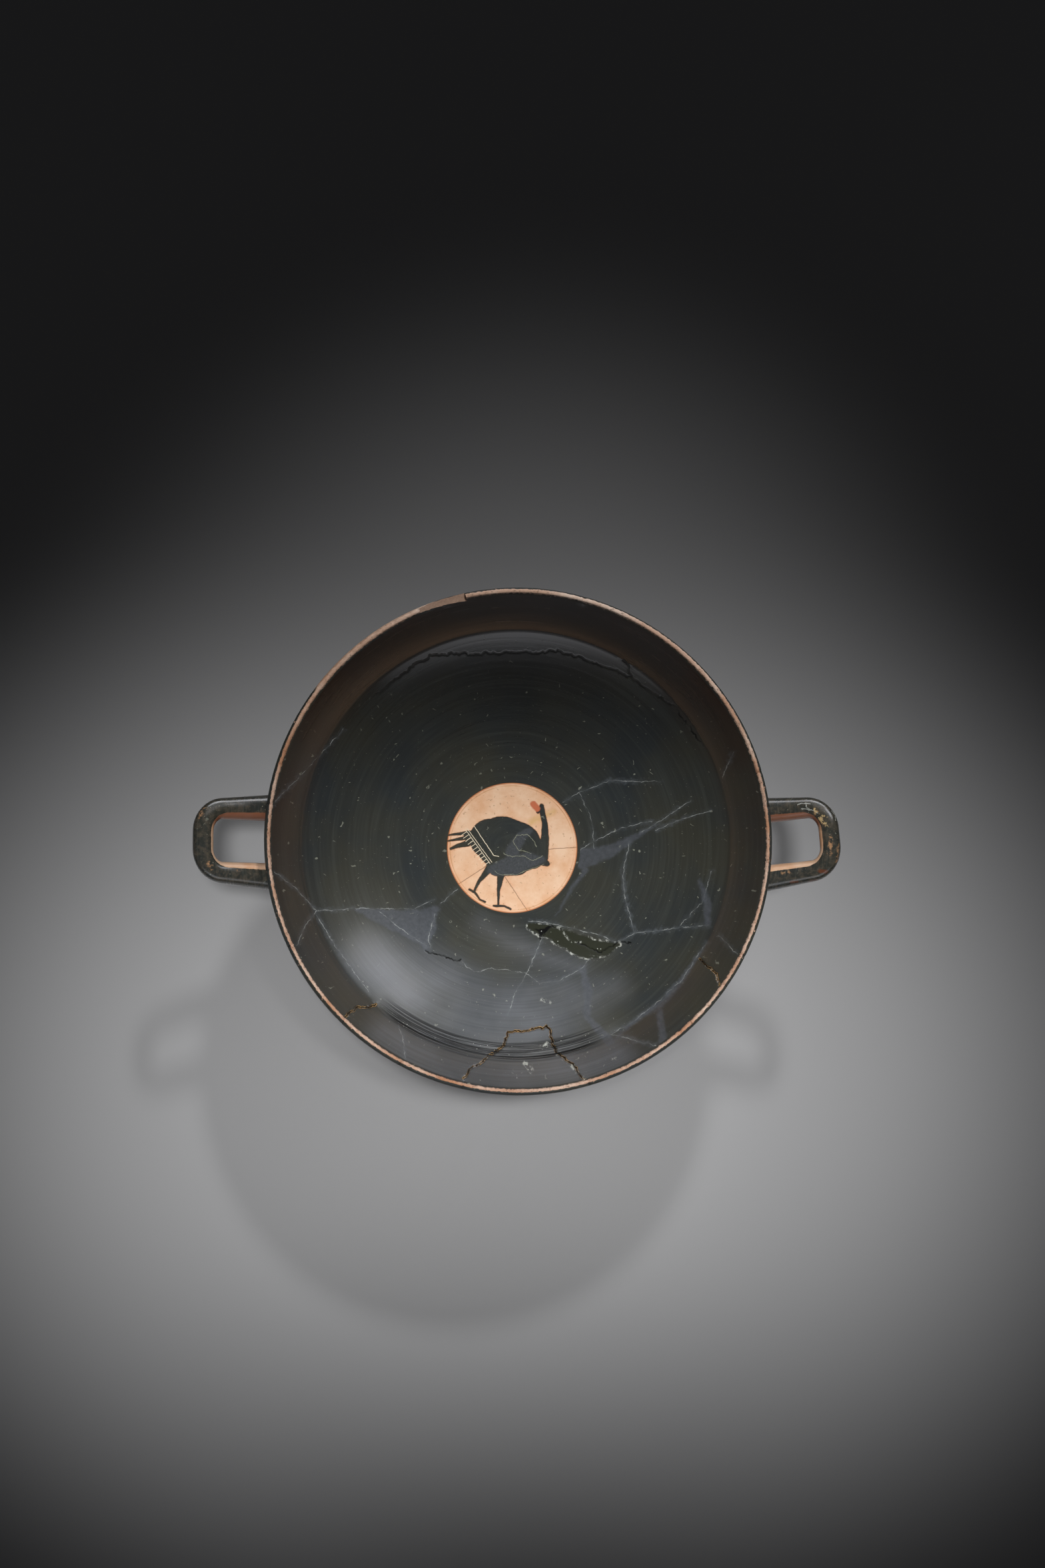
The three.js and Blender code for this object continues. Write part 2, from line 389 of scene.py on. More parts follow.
def mark_inner_faces(mesh):
    """Point attribute "inward": how far a handle's point faces into the loop, past the edge of the slip."""
    inward = mesh.attributes.new("inward", "FLOAT", "POINT")
    on_handle = {index for face in mesh.polygons if face.material_index == HANDLE for index in face.vertices}
    corner_x = TIP[0] - CORNER[0]
    corner_y = LEG_HALF - CORNER[1]
    turns = {place[0]: handle_turn(*place).inverted() for place in HANDLE_PLACES}
    for vert in mesh.vertices:
        if vert.index not in on_handle:
            continue
        turn = turns[1 if vert.co.x > 0 else -1]
        point = turn @ vert.co
        normal = turn.to_3x3() @ vert.normal
        middle = Vector((min(point.x, corner_x), min(max(point.y, -corner_y), corner_y), point.z))
        facing = normal.dot((middle - point).normalized())
        slip_edge = mix(BARE_TO_LEG, BARE_TO_TIP, smoothstep(point.x, corner_x - 3, TIP[0]))
        inward.data[vert.index].value = facing - slip_edge


# ---- Joining and cutting ------------------------------------------

def as_object(name, bm, finishes=()):
    mesh = bpy.data.meshes.new(name)
    bm.to_mesh(mesh)
    bm.free()
    for material in finishes:
        mesh.materials.append(material)
    made = bpy.data.objects.new(name, mesh)
    bpy.context.collection.objects.link(made)
    return made


def combine(base, other, operation):
    """Joins other to base, or cuts it away, and removes it.

    The solver can lose the base. The other is then nudged by a thousandth of a millimetre for a new try.
    """
    change = base.modifiers.new("combine", "BOOLEAN")
    change.operation = operation
    change.solver = "EXACT"
    change.object = other
    for _ in range(SOLVER_TRIES):
        graph = bpy.context.evaluated_depsgraph_get()
        mesh = bpy.data.meshes.new_from_object(base.evaluated_get(graph))
        if len(mesh.vertices) > 0.9 * len(base.data.vertices):
            break
        other.location.z += 0.001
    base.modifiers.remove(change)
    base.data = mesh
    bpy.data.objects.remove(other)


def chip_cutter():
    """The flake missing from the lip: a flat cut with a slightly rough, leaning face."""
    bm = bmesh.new()
    bmesh.ops.create_cube(bm, size=1)
    bmesh.ops.subdivide_edges(bm, edges=bm.edges, cuts=24, use_grid_fill=True)
    bmesh.ops.scale(bm, vec=(12, CHIP_LENGTH, 8), verts=bm.verts)
    bmesh.ops.translate(bm, vec=(0, 0, 4), verts=bm.verts)
    lean = Matrix.Rotation(math.radians(CHIP_LEAN), 3, "X")
    bmesh.ops.rotate(bm, cent=(0, 0, 0), matrix=lean, verts=bm.verts)
    bmesh.ops.translate(bm, vec=((LIP_TOP_INNER + RIM_RADIUS) / 2, 0, HEIGHT - CHIP_DEPTH), verts=bm.verts)
    turn = Matrix.Rotation(math.radians(CHIP_AZIMUTH), 3, "Z")
    bmesh.ops.rotate(bm, cent=(0, 0, 0), matrix=turn, verts=bm.verts)
    for vert in bm.verts:
        vert.co.z += 0.18 * noise.noise(vert.co * 0.7)
    bmesh.ops.recalc_face_normals(bm, faces=bm.faces)
    for face in bm.faces:
        face.material_index = BREAK
    return bm


def bowl_space():
    """The bowl's hollow grown into the middle of the wall, to trim the handles' ends."""
    grown = (BOWL_INNER_EDGE[0] + 1.6, BOWL_INNER_EDGE[1])
    outline = bowl_curve(grown, FLOOR - 1.6, BOWL_ROUND, 1, 0, 24)
    outline += [Vector((grown[0], HEIGHT + 5)), Vector((0, HEIGHT + 5))]
    return spun(outline, 96)


def mark_breaks(mesh, name, tree, reach):
    """Point attribute that is 1 on a break and falls to 0 at reach from it."""
    mark = mesh.attributes.new(name, "FLOAT", "POINT")
    inner = {index for face in mesh.polygons if face.material_index == INSIDE for index in face.vertices}
    for index in inner:
        mark.data[index].value = max(0, 1 - break_gap(tree, mesh.vertices[index].co) / reach)


def kylix_mesh(finishes):
    open_tree, dark_tree = break_tree(OPEN_BREAKS), break_tree(DARK_BREAKS)
    cup = as_object("kylix_clay", thrown_body(open_tree, dark_tree), finishes)
    for place in HANDLE_PLACES:
        bar = as_object("handle", handle_bar(place), finishes)
        combine(bar, as_object("bowl_space", bowl_space(), finishes), "DIFFERENCE")
        combine(cup, bar, "UNION")
    combine(cup, as_object("flake", chip_cutter(), finishes), "DIFFERENCE")
    mark_inner_faces(cup.data)
    mark_breaks(cup.data, "open_break", open_tree, 1.4)
    mark_breaks(cup.data, "dark_break", dark_tree, 1.0)
    for face in cup.data.polygons:
        face.use_smooth = True
    cup.data.set_sharp_from_angle(angle=math.radians(35))
    cup.data.transform(Matrix.Scale(MM, 4))
    return cup


# ---- Painting, mends and wear, in plan ----------------------------
# Points are (x, y) or (x, y, half width) in millimetres from the cup's axis, seen from above.

BIRD = (
    ((-20, 5.2, 2.5), (-10.4, 4.2, 9.3), (-4.7, 2.5, 12.2), (1.9, 0.4, 11.9), (9.5, -4.4, 5.3)),  # back
    ((-6.6, -7.9, 5.3), (1.9, -6, 6.8), (10.4, -6.2, 3.2)),  # belly
    ((-20, 7, 1.0), (-30.5, 5.6, 0.3)),  # tail feathers
    ((-21, 4.6, 1.0), (-30, 3, 0.35)),
    ((-20.5, 2, 1.5), (-25.4, 0.8, 0.9), (-28.4, -0.6, 0.6)),
    ((13.7, -4, 3.2), (15.3, 4.7, 1.9), (15.2, 11.5, 1.25), (14.2, 16, 1.3), (13.7, 19.4, 1.1)),  # neck
    ((13.7, 19.4, 1.1), (12.1, 16.8, 0.8)),  # head
    ((13.7, -5.7, 2.5), (16.1, -7.2, 1.4)),  # breast
    ((-10.4, -9.4, 1.8), (-15.5, -15.8, 0.75), (-17.6, -20.4, 0.5)),  # legs and feet
    ((-19.8, -19.4, 0.5), (-17.4, -20.8, 0.55), (-15, -24, 0.4), (-12.6, -25.2, 0.45)),
    ((-5.2, -12.6, 1.7), (-6.3, -20, 0.7), (-6.5, -26.6, 0.45)),
    ((-8.6, -26.9, 0.45), (-6.5, -27, 0.6), (-3.6, -27, 0.4), (-0.8, -28.4, 0.5)),
)
WING_LINE = ((-17.6, 10), (-8.6, -3.4), (-6.2, -4))
WING_BARS = (((-21.6, 8.2), (-10.2, -7.2)), ((-20.8, 8.8), (-9.4, -6.6)))
QUILLS = 11  # short strokes that hang from the lower wing bar
QUILL_LENGTH = (-2.5, -1.8)
RED_FACE = (((9.9, 20.4, 1.5), (11.7, 18.2, 1.3)),)
BIRD_REPAIR = (
    ((-9, -10.5, 2.6), (-1, -8.5, 4.6), (8, -5.5, 3.6), (14, -5.5, 1.4)),
    ((0, -2, 3.2), (4, 5, 2.4), (8, 8, 1.6)),
)
BIRD_SCORES = (  # cracks in the repaired slip of the bird
    ((-4, -2.4), (0, -4), (5, -3.6), (10, -5.6), (14, -4)),
    ((0.4, 3), (2, 6), (7, 6.4), (10.4, 3), (11.4, 0.4)),
    ((-8, -11), (-5, -12.6), (2, -12.2), (9, -9.6), (15, -7.4)),
    ((0.4, 3), (3, -1), (9, -2.4)),
)
OCHRE_STAINS = (((15.6, -2, 0.9), (13.4, -5.5, 0.5)), ((9, 12, 1.2), (19, 17, 0.6)))
TONDO_BREAKS = (
    ((-26.5, -18), (-18, -12.4), (-12, -8.5)),
    ((-3.6, -13), (7.6, -30)),
    ((16, -0.6), (30.5, 0.4)),
)

PALE_MENDS = (
    ((-110, -15), (-101, -21), (-91, -31), (-81, -30), (-70, -29)),  # left
    ((-91, -31), (-96, -38), (-100, -48)),
    ((-91, -33), (-81, -49), (-67, -68)),
    ((-33, -26), (-24, -18)),
    ((-36, -31), (-39, -42), (-38, -47)),
    ((-24, -53), (-18, -58), (-10, -56), (6, -58), (12, -63), (21, -62), (32, -56)),  # below the tondo
    ((-54, -82), (-52, -88), (-51, -100)),
    ((14, -41), (12, -46), (6, -59), (1, -67), (-3, -78)),
    ((8, -34), (18, -35), (38, -40), (48, -44), (56, -40), (75, -38), (88, -37)),  # right
    ((56, -40), (52, -24), (51, -12), (54, 2)),
    ((92, -42), (100, -53)),
    ((87, -45), (75, -63), (54, -81), (43, -87)),
    ((22, 20), (31, 26), (45, 31), (68, 30)),  # above right
    ((31, 26), (37, 13), (38, 0)),
    ((59, 7), (68, 12), (81, 21)),
    ((43, -87), (64, -93)),
    ((-70, -29), (-58, -29), (-46, -29), (-36, -24)),
    ((-62, -30), (-52, -38), (-40, -46)),
    ((32, -56), (36, -50), (34, -42)),
    ((66, 8), (76, 12), (90, 16)),
    ((22, -8), (34, 1), (50, 9), (64, 12)),
    ((75, -38), (86, -26), (90, -12)),
    ((-111, 16), (-85, 45), (-79, 52)),  # far left
    ((98, 41), (94, 30)),
)
DARK_BREAKS = (  # fine dark cracks
    ((-63, 68), (-48, 81), (-36, 87), (-12, 88), (19, 89), (33, 85), (53, 77), (73, 63), (86, 45)),
    ((53, 77), (52, 81), (49, 85)),
    ((-40, -48), (-32, -51), (-24, -53)),
    ((30, -44), (40, -49), (48, -44), (54, -44)),
    ((14, -41), (18, -36), (22, -38)),
)
OPEN_BREAKS = (  # gaping, with ochre earth in them
    ((-79, -80), (-74, -76), (-63, -74)),
    ((-25, -107), (-22, -103), (-15, -99), (-6, -92), (-3, -86), (6, -85), (15, -83), (18, -95), (24, -100),
     (31, -110)),
    ((84, -53), (89, -59), (91, -65)),
)
FILLS = (
    ((-72, -30, 0.8), (-56, -34, 4.6), (-43, -37, 7.6), (-36, -29, 2.0)),  # triangle on the left
    ((-43, -38, 6), (-40, -47, 1.2)),
    ((33, -5, 4.6), (44, -2, 3), (57, 5, 1.2), (66, 10, 0.2)),  # wedge by the tondo
    ((34, -10, 1.4), (27, -20, 0.6), (20, -32, 0.1)),
    ((85, -16, 0.6), (88, -27, 1.6), (88, -36, 1.2)),  # right
    ((86, -47, 0.2), (75, -63, 0.9), (66, -73, 1.4), (54, -81, 0.9), (44, -90, 0.4)),
    ((32, -56, 1.2), (34, -66, 1.8), (33, -79, 1.6), (42, -90, 2)),  # below right
    ((65, -76, 1), (65, -91, 1.6)),
)
# Grey strokes of retouching, which also stand for painted sheen on the lower bowl and lip.
RETOUCH_AND_SHEEN = (  # where thin grey retouching dulls the slip
    ((-62, -54, 12), (-40, -66, 16), (-10, -80, 16), (22, -74, 13), (46, -66, 4)),
    ((-60, -86, 6), (-30, -101, 9), (10, -105, 10), (44, -96, 6)),
    ((-14, -36, 2), (-2, -44, 4), (30, -56, 2)),
)
BARE_PATCH = (
    ((8.6, -36.6, 1.4), (14, -38, 2.6), (24, -41.6, 3.2), (33, -45.6, 4.2), (41, -47.4, 3.2),
     (48.4, -44.6, 0.6)),
    ((20, -43, 1), (31, -49.6, 0.8), (38, -51, 0.5)),
)
BLACK_BLOT = (
    ((10.6, -37.6, 0.4), (13.4, -38.6, 1.3), (13, -41.6, 0.4)),
    ((13.4, -38.6, 1.2), (18.6, -36.4, 0.3)),
)
PLASTER_SPOTS = (
    ((12.6, -92.6, 1.2), (14.4, -91.2, 0.8)),
    ((43, -98, 0.7), (43.6, -97.4, 0.5)),
    ((4, -100.6, 1.0), (6, -103.6, 1.2)),
    ((-2, -104, 0.5), (-1, -107, 0.5)),
    ((13, -70.6, 0.6), (16.6, -72, 0.4)),
    ((18, -96, 0.2), (24, -101.4, 0.5), (29.6, -108, 0.5)),
    ((22, -37, 0.4), (26, -43, 0.4), (31, -44, 0.4)),
)
RIDGE_WEAR = (-12, -92, 0)  # middle of the worn stretch of the ridge inside the lip
RUBBED_EDGE = (-68, 92, 0)  # middle of the rubbed stretch of the lip's edge

HANDLE_WEAR = (
    ((-144, 10, 0.5), (-142, 13.6, 0.9)),  # left
    ((-139.8, -10.6, 0.8), (-138.6, -13, 0.7)),
    ((-125.5, -14, 0.5), (-126.5, -13.8, 0.3)),
    ((135.6, 14.4, 0.8), (136.6, 11.6, 0.7), (139, 8, 0.6)),  # right
    ((142, 1.6, 0.7), (141.6, -5, 1.0)),
    ((145.8, -1, 0.3), (145, -8.6, 0.4)),
    ((121, -13.6, 0.4), (124, -13.4, 0.5)),
)
HANDLE_CRACKS = (
    ((127.6, 17), (129.6, 18.2), (133.4, 17.6)),
    ((129.4, 15.4), (132, 15), (134.8, 14.8), (136.4, 13.2)),
    ((131, 18.4), (131.4, 16.4), (133.2, 14.8)),
    ((143, 14.6), (144.4, 12.4), (144.6, 10)),
)
HANDLE_EARTH = (  # ochre earth left in the cracks
    ((135.2, 15, 0.5), (136.4, 12.6, 0.7), (138, 10.4, 0.6), (140.4, 7, 0.5)),
    ((138.6, 12, 0.3), (140.6, 11.6, 0.3)),
)
HANDLE_RUST = (
    ((137.4, -13.2, 0.8), (140.2, -13.2, 0.8)),
    ((133, -18, 0.5), (138, -17, 0.5)),
    ((125, -17.6, 0.4), (128, -17.6, 0.4)),
)

SLIP_BANDS = (  # low and high edges of the slip on the outside
    (FOOT_EDGE - 1.2, HEIGHT - 49.5),
    (HEIGHT - 48.3, HEIGHT - 42),
    (HEIGHT - 21.2, HEIGHT + 9),
)


def incised_lines():
    """Lines scratched through the slip to the clay: the wing's edge, its two bars and a comb of quills."""
    lines = [WING_LINE, *WING_BARS]
    start, end = WING_BARS[0]
    for i in range(QUILLS):
        share = (i + 0.5) / QUILLS
        x, y = mix(start[0], end[0], share), mix(start[1], end[1], share)
        lines.append(((x, y), (x + QUILL_LENGTH[0], y + QUILL_LENGTH[1])))
    return lines


# ---- Materials ----------------------------------------------------

def paint(code):
    """An sRGB hex colour as linear RGBA."""
    channels = [int(code[i:i + 2], 16) / 255 for i in (1, 3, 5)]
    return tuple(c / 12.92 if c <= 0.04045 else ((c + 0.055) / 1.055) ** 2.4 for c in channels) + (1.0,)


def node(tree, kind, inputs=(), out=0, **settings):
    """Adds a shader node. inputs fills its sockets, in order or by name, with other sockets or values."""
    made = tree.nodes.new("ShaderNode" + kind)
    for name, value in settings.items():
        setattr(made, name, value)
    pairs = inputs.items() if isinstance(inputs, dict) else enumerate(inputs)
    for key, value in pairs:
        if isinstance(value, bpy.types.NodeSocket):
            tree.links.new(value, made.inputs[key])
        elif value is not None:
            made.inputs[key].default_value = value
    return made.outputs[out]


def arith(tree, operation, *values, **settings):
    return node(tree, "Math", values, operation=operation, **settings)


def vector(tree, operation, *values, out=0):
    return node(tree, "VectorMath", values, out, operation=operation)


def product(tree, share, *factors):
    for factor in factors:
        share = arith(tree, "MULTIPLY", share, factor)
    return share


def most(tree, share, *others):
    for other in others:
        share = arith(tree, "MAXIMUM", share, other)
    return share


def away(tree, value, centre):
    """How far value lies from centre, on either side."""
    return arith(tree, "ABSOLUTE", arith(tree, "SUBTRACT", value, centre))


def ramp(tree, value, low, high, start=0, end=1, smooth=False):
    """Carries value from the range low to high onto the range start to end, and no further."""
    course = "SMOOTHSTEP" if smooth else "LINEAR"
    return node(tree, "MapRange", (value, low, high, start, end), interpolation_type=course)


def blend(tree, share, *colours):
    """From the first colour to the second. Each is a socket or an sRGB hex code."""
    colours = [paint(colour) if isinstance(colour, str) else colour for colour in colours]
    return node(tree, "MixRGB", (share, *colours))


def mottle(tree, where, grain, detail, roughness=0.5, out=0):
    """Cloudy noise, its patches about one grain across."""
    return node(tree, "TexNoise", {"Vector": where, "Scale": 1 / grain, "Detail": detail,
                                   "Roughness": roughness}, out=out)


def new_finish(name):
    """An empty material, its tree, and what most finishes read: place, plan and radius on the cup, in mm."""
    material = bpy.data.materials.new(name)
    material.use_nodes = True
    tree = material.node_tree
    spot = node(tree, "TexCoord", out="Object")
    place = vector(tree, "MULTIPLY", spot, (1000, 1000, 1000))
    plan = vector(tree, "MULTIPLY", place, (1, 1, 0))
    radius = vector(tree, "LENGTH", plan, out=1)
    return material, tree, place, plan, radius


def apply_finish(material, colour, roughness, height, depth, gloss=0.0):
    """Feeds the shader. height runs from 0 to 1, which stands for a depth in millimetres.

    gloss is the share of the surface that burnishing left smooth, a thin clear layer over the duller body.
    """
    tree = material.node_tree
    shader = tree.nodes["Principled BSDF"]
    shader.inputs["Coat Weight"].default_value = gloss
    shader.inputs["Coat Roughness"].default_value = 0.2
    bump = node(tree, "Bump", {"Strength": 1, "Distance": depth * MM, "Height": height})
    tree.links.new(colour, shader.inputs["Base Color"])
    tree.links.new(roughness, shader.inputs["Roughness"])
    tree.links.new(bump, shader.inputs["Normal"])
    tree.links.new(bump, shader.inputs["Coat Normal"])
    return material


def wheel_marks(tree, plan, radius, width):
    """Noise drawn out along the turning of the wheel. width is that of one mark."""
    turn = vector(tree, "NORMALIZE", plan)
    across = product(tree, radius, 1 / width)
    rise = node(tree, "CombineXYZ", {"Z": across})
    drawn = vector(tree, "MULTIPLY_ADD", turn, (1.7, 1.7, 0), rise)
    return mottle(tree, drawn, 1, 4, 0.62)


def wandering(tree, plan, reach, grain):
    """The plan shifted by noise, so that what is drawn on it wanders like a break."""
    cloud = mottle(tree, plan, grain, 3, 0.65, out="Color")
    shift = vector(tree, "SUBTRACT", cloud, (0.5, 0.5, 0.5))
    return vector(tree, "MULTIPLY_ADD", shift, (2 * reach, 2 * reach, 0), plan)


def strokes(tree, plan, lines, half=0.0):
    """Distance to the edge of the nearest brush stroke, negative inside it.

    Each line is a row of points (x, y) of one half width, or (x, y, half width) with an even taper.
    """
    nearest = None
    for line in lines:
        points = [Vector((*point, half)[:3]) for point in line]
        for a, b in zip(points, points[1:]):
            axis = Vector((b.x - a.x, b.y - a.y, 0))
            offset = vector(tree, "SUBTRACT", plan, (a.x, a.y, 0))
            share = vector(tree, "DOT_PRODUCT", offset, axis / axis.length_squared, out=1)
            share = node(tree, "Clamp", (share,))
            along = node(tree, "VectorMath", {"Vector": axis, "Scale": share}, operation="SCALE")
            gap = vector(tree, "DISTANCE", offset, along, out=1)
            inward = arith(tree, "MULTIPLY_ADD", share, a.z - b.z, -a.z)
            edge = arith(tree, "ADD", gap, inward)
            nearest = edge if nearest is None else arith(tree, "MINIMUM", nearest, edge)
    return nearest


def specks(tree, place, spacing, size, share):
    """Round marks scattered at random, 1 inside a mark: their spacing, largest radius and share of cells."""
    gap = node(tree, "TexVoronoi", {"Vector": place, "Scale": 1 / spacing})
    lot = node(tree, "SeparateColor", (gap.node.outputs["Color"],))
    reach = ramp(tree, lot, 1 - share, 1, 0, size / spacing)
    inside = arith(tree, "SUBTRACT", reach, gap)
    return ramp(tree, inside, 0, 0.25 * size / spacing)


def hairs(tree, plan, spacing, width, share):
    """Fine curved scratches, 1 on a scratch: short lengths of the contour lines of a cloud."""
    cloud = mottle(tree, plan, spacing, 1.5)
    line = ramp(tree, away(tree, cloud, 0.5), 0.5 * width / spacing, 1.2 * width / spacing, 1, 0)
    part = node(tree, "TexNoise", {"Vector": plan, "Scale": 2.6 / spacing, "Detail": 1})
    part = ramp(tree, part, 0.78 - 0.4 * share, 0.82 - 0.4 * share)
    return product(tree, line, part)


def slip_look(tree, place, plan, radius):
    """Sintered iron slip: olive black with a soft sheen, streaked by the brush as the cup turned."""
    cloud = ramp(tree, mottle(tree, place, 38, 3), 0.36, 0.64)
    colour = blend(tree, cloud, "#2d3132", "#373730")
    wheel = wheel_marks(tree, plan, radius, 1.2)
    streak = ramp(tree, wheel, 0.45, 0.75, 0, 0.22)
    colour = blend(tree, streak, colour, "#565a54")
    dust = specks(tree, place, 1.1, 0.17, 0.5)
    grains = specks(tree, place, 3.6, 0.29, 0.35)
    patchy = ramp(tree, cloud, 0.1, 0.9, 0.6, 0.35)
    pale = product(tree, most(tree, dust, grains, hairs(tree, plan, 7, 0.11, 0.3)), patchy)
    colour = blend(tree, pale, colour, "#a3a595")
    roughness = ramp(tree, wheel, 0.3, 0.75, 0.31, 0.42)
    height = arith(tree, "MULTIPLY_ADD", pale, -1, wheel)
    return colour, roughness, height


def clay_look(tree, place):
    """Burnished orange clay left bare of slip, with its darker grains."""
    cloud = ramp(tree, mottle(tree, place, 9, 5, 0.6), 0.35, 0.65)
    colour = blend(tree, cloud, "#d8a883", "#e4c1a3")
    grains = product(tree, specks(tree, place, 2.6, 0.22, 0.35), 0.5)
    return blend(tree, grains, colour, "#9a6f52")


def inside_slip():
    """The bowl and the lip inside: brushed slip with the joins of the old mends, their fills and losses."""
    material, tree, place, plan, radius = new_finish("brushed_black_slip_inside")
    colour, roughness, height = slip_look(tree, place, plan, radius)
    broad = mottle(tree, plan, 45, 4)

    # Painted shade: the back of the bowl is darkened towards black, and its roughness is lowered there.
    # Towards the lip the slip fired thinner and browner.
    across = node(tree, "SeparateXYZ", (plan,), out=1)
    painted_shade = arith(tree, "MULTIPLY_ADD", broad, 40, across)
    painted_shade = ramp(tree, painted_shade, 45, 105, 0, 0.75)
    colour = blend(tree, painted_shade, colour, "#171616")
    roughness = arith(tree, "MULTIPLY_ADD", painted_shade, -0.16, roughness)
    patchy = ramp(tree, broad, 0.35, 0.6, 0.35, 1)
    back = ramp(tree, across, -60, 90, 0.1, 1)
    lip = product(tree, ramp(tree, radius, 92, 112), patchy, back)
    colour = blend(tree, lip, colour, "#38251a")

    # Fills are soft plaster toned blue-grey with a dry brush. Thin grey retouching dulls the slip beyond
    # them, and the same grey also lightens the lower bowl and lip as painted sheen.
    astray = wandering(tree, plan, 1.8, 5)
    brushed = mottle(tree, plan, 2.2, 4, 0.7)
    streaky = wheel_marks(tree, plan, radius, 0.7)
    retouch_and_sheen = ramp(tree, strokes(tree, plan, RETOUCH_AND_SHEEN), 9, -10, smooth=True)
    dabbed = ramp(tree, streaky, 0.3, 0.7, 0.55, 1)
    clouded = ramp(tree, broad, 0.38, 0.62, 0.4, 0.85)
    retouch_and_sheen = product(tree, retouch_and_sheen, dabbed, clouded)
    colour = blend(tree, retouch_and_sheen, colour, "#6c6e73")
    roughness = arith(tree, "MULTIPLY_ADD", retouch_and_sheen, 0.12, roughness)
    fill = ramp(tree, strokes(tree, astray, FILLS), 0.9, -0.9, smooth=True)
    tone = blend(tree, brushed, "#2a2c32", "#676b72")
    colour = blend(tree, product(tree, fill, 0.6), colour, tone)
    roughness = arith(tree, "MULTIPLY_ADD", fill, 0.12, roughness)

    # Joins of the sherds: a broken pale hairline with grey toning spread beside it.
    broken = wandering(tree, plan, 1.2, 3.2)
    worn_away = mottle(tree, plan, 4, 2)
    mend = strokes(tree, broken, PALE_MENDS, 0.06)
    ragged = arith(tree, "MULTIPLY_ADD", brushed, -6, mend)
    spread = ramp(tree, broad, 0.4, 0.62, 0.05, 0.45)
    toned = product(tree, ramp(tree, ragged, -1.4, -3.2), spread)
    colour = blend(tree, toned, colour, "#5f6469")
    kept = ramp(tree, worn_away, 0.42, 0.58, 0.1, 0.9)
    pale = product(tree, ramp(tree, mend, 0.16, -0.06), kept)
    colour = blend(tree, pale, colour, "#969996")

    # A patch below the tondo lost its upper layer of slip: dull olive with a chalky edge.
    loss = strokes(tree, astray, BARE_PATCH)
    lost = ramp(tree, loss, 0.5, -0.3)
    blot = ramp(tree, strokes(tree, astray, BLACK_BLOT), 0.3, -0.3)
    flaky = ramp(tree, brushed, 0.48, 0.58)
    margin = product(tree, ramp(tree, away(tree, loss, 0.5), 0.7, 0.1), flaky, kept)
    inner = product(tree, specks(tree, place, 1.5, 0.3, 0.3), lost)
    colour = blend(tree, lost, colour, "#2a2c22")
    colour = blend(tree, blot, colour, "#0b0b0a")

    # Dark cracks, and gaping breaks with ochre earth in them.
    crack = node(tree, "Attribute", out="Fac", attribute_name="dark_break")
    crumbled = ramp(tree, worn_away, 0.4, 0.56, 0.25, 1)
    dark = product(tree, ramp(tree, crack, 0.5, 0.78), crumbled)
    colour = blend(tree, dark, colour, "#0c0c0b")
    near_crack = ramp(tree, crack, 0.45, 0.75, 0, 0.3)
    roughness = arith(tree, "ADD", roughness, near_crack)
    gape = node(tree, "Attribute", out="Fac", attribute_name="open_break")
    ragged = arith(tree, "MULTIPLY_ADD", brushed, 0.5, gape)
    earthy = ramp(tree, ragged, 0.85, 0.98)
    earth = blend(tree, crumbled, "#241a12", "#b8935f")
    colour = blend(tree, earthy, colour, earth)
    split = ramp(tree, gape, 0.68, 0.84)
    colour = blend(tree, split, colour, "#0f0b08")

    # The slip has worn off in streaks on the ridge where the lip turns out.
    ridge = ramp(tree, away(tree, radius, 95), 5.5, 2.5, smooth=True)
    near = vector(tree, "DISTANCE", plan, RIDGE_WEAR, out=1)
    worn = product(tree, ridge, ramp(tree, near, 56, 42, smooth=True))
    rubbed = wheel_marks(tree, plan, radius, 0.55)
    streaks = product(tree, worn, ramp(tree, rubbed, 0.47, 0.53, 1, 0))
    colour = blend(tree, streaks, colour, "#0b0c0b")
    roughness = arith(tree, "MULTIPLY_ADD", streaks, 0.3, roughness)
    crumbs = product(tree, worn, specks(tree, place, 1.6, 0.32, 0.4))
    spots = product(tree, ramp(tree, strokes(tree, broken, PLASTER_SPOTS), 0.5, -0.4), flaky)
    beside = ramp(tree, gape, 0.35, 0.6)
    crumbled = product(tree, beside, specks(tree, place, 1.3, 0.34, 0.35))
    chalk = most(tree, crumbs, spots, crumbled, most(tree, margin, inner))
    colour = blend(tree, chalk, colour, "#b4b6ae")

    height = arith(tree, "MULTIPLY_ADD", fill, 0.6, height)
    height = arith(tree, "MULTIPLY_ADD", lost, -2.5, height)
    height = arith(tree, "MULTIPLY_ADD", pale, -1.5, height)
    height = arith(tree, "MULTIPLY_ADD", streaks, -4, height)
    height = arith(tree, "MULTIPLY_ADD", chalk, 2, height)
    return apply_finish(material, colour, roughness, height, 0.028, gloss=0.6)


